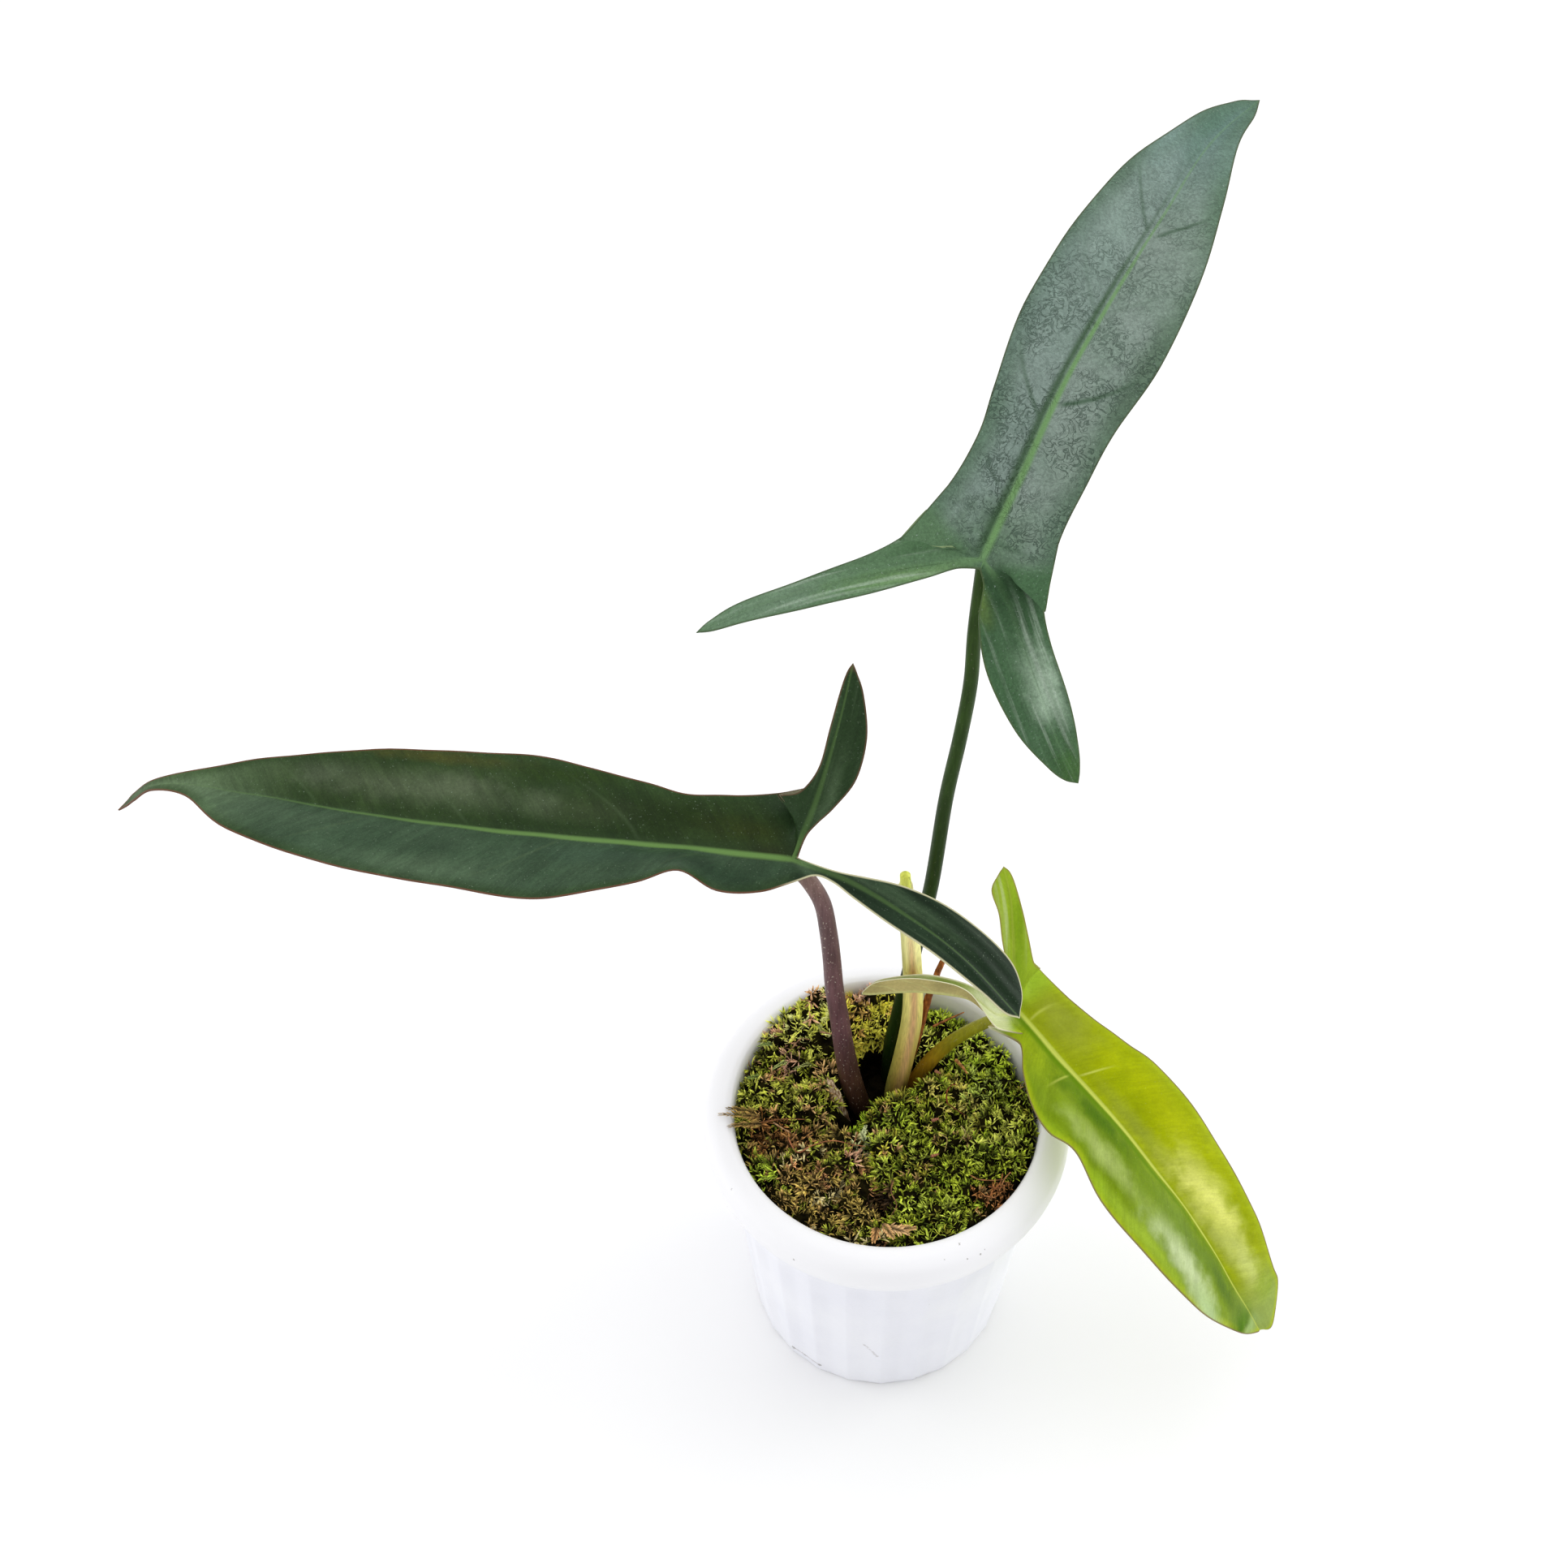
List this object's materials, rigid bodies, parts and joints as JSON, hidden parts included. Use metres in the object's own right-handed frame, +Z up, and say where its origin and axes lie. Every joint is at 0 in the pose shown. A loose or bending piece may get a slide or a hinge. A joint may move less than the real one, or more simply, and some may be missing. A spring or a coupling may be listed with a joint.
{
  "type": "potted philodendron mexicanum",
  "caption": "Young potted philodendron with spear-shaped, long-lobed leaves on tall stalks and a rolled new leaf, in a white fluted plastic pot topped with moss.",
  "frame": {"origin": "middle of the pot's underside, on the surface that it stands on", "axes": "+Z up, -Y towards the front from which the plant was pictured, +X to the right of that view"},
  "size_m": [0.4668, 0.325, 0.4625],
  "materials": {
    "pot_plastic": "satin",
    "grey_green_leaf": "satin",
    "dark_leaf": "satin",
    "lime_leaf": "satin",
    "new_leaf": "satin",
    "sheath": "satin",
    "dry_sheath": "matte",
    "stem": "matte",
    "soil": "matte",
    "green_moss": "matte",
    "brown_moss": "matte",
    "pale_moss": "matte"
  },
  "bodies": {
    "root": {"pot": "pot_plastic", "tall_leaf": "grey_green_leaf", "left_leaf": "dark_leaf", "lime_leaf": "lime_leaf", "new_leaf": "new_leaf", "new_leaf_sheath": "sheath", "old_leaf_sheath": "dry_sheath", "dry_sheath_scrap": "dry_sheath", "stem": "stem", "soil": "soil", "moss_front_right": "green_moss", "moss_front_left": "brown_moss", "moss_left": "green_moss", "moss_back_left": "pale_moss", "moss_back": "pale_moss", "moss_back_right": "green_moss"}
  },
  "joints": []
}
